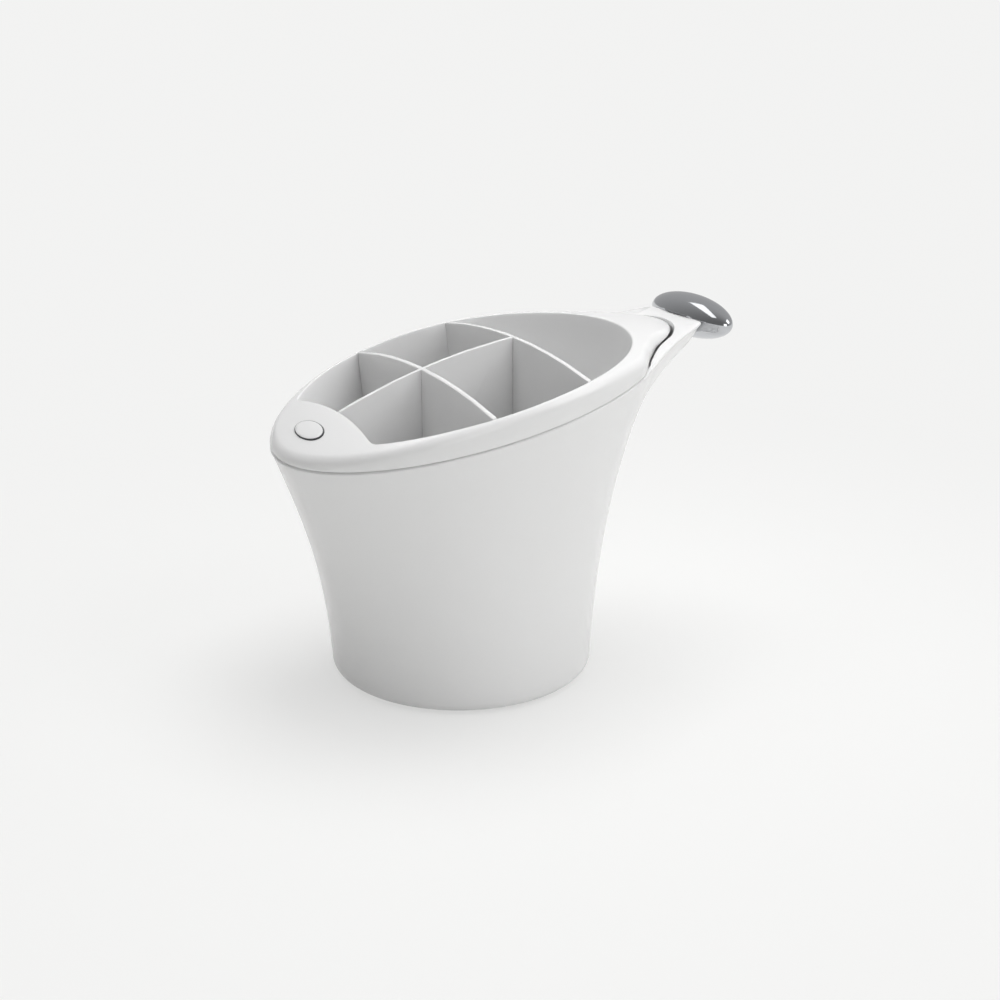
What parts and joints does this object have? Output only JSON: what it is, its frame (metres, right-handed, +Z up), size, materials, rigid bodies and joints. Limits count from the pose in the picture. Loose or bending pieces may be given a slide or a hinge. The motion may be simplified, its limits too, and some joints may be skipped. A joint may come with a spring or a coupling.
{
  "type": "cutlery drainer",
  "caption": "Worktop cutlery drainer: a flared plastic pot with a hollow pouring handle, a chrome knob and a lift-out divided basket under a domed collar.",
  "frame": {"origin": "middle of the foot ring's underside, on the table", "axes": "+X towards the pouring handle and its knob, +Y across the pot, +Z up out of its mouth"},
  "size_m": [0.2217, 0.1416, 0.1604],
  "materials": {
    "white_plastic": "smooth glossy moulded plastic",
    "chrome": "polished chrome plating",
    "steel": "plain bright steel",
    "grey_rubber": "matte moulded rubber",
    "white_badge": "smooth glossy inlay, nothing printed on it"
  },
  "bodies": {
    "pot": {"outer_pot": "white_plastic", "foot_ring": "grey_rubber", "handle_knob": "chrome", "knob_screw": "steel"},
    "insert": {"insert_collar": "white_plastic", "drain_basket": "white_plastic", "front_divider": "white_plastic", "rear_divider": "white_plastic", "centre_divider": "white_plastic", "badge": "white_badge"}
  },
  "joints": [
    {"name": "insert_lift", "type": "slide", "parent": "pot", "child": "insert", "axis": [0, 0, 1], "range_m": [0, 0.17]}
  ]
}
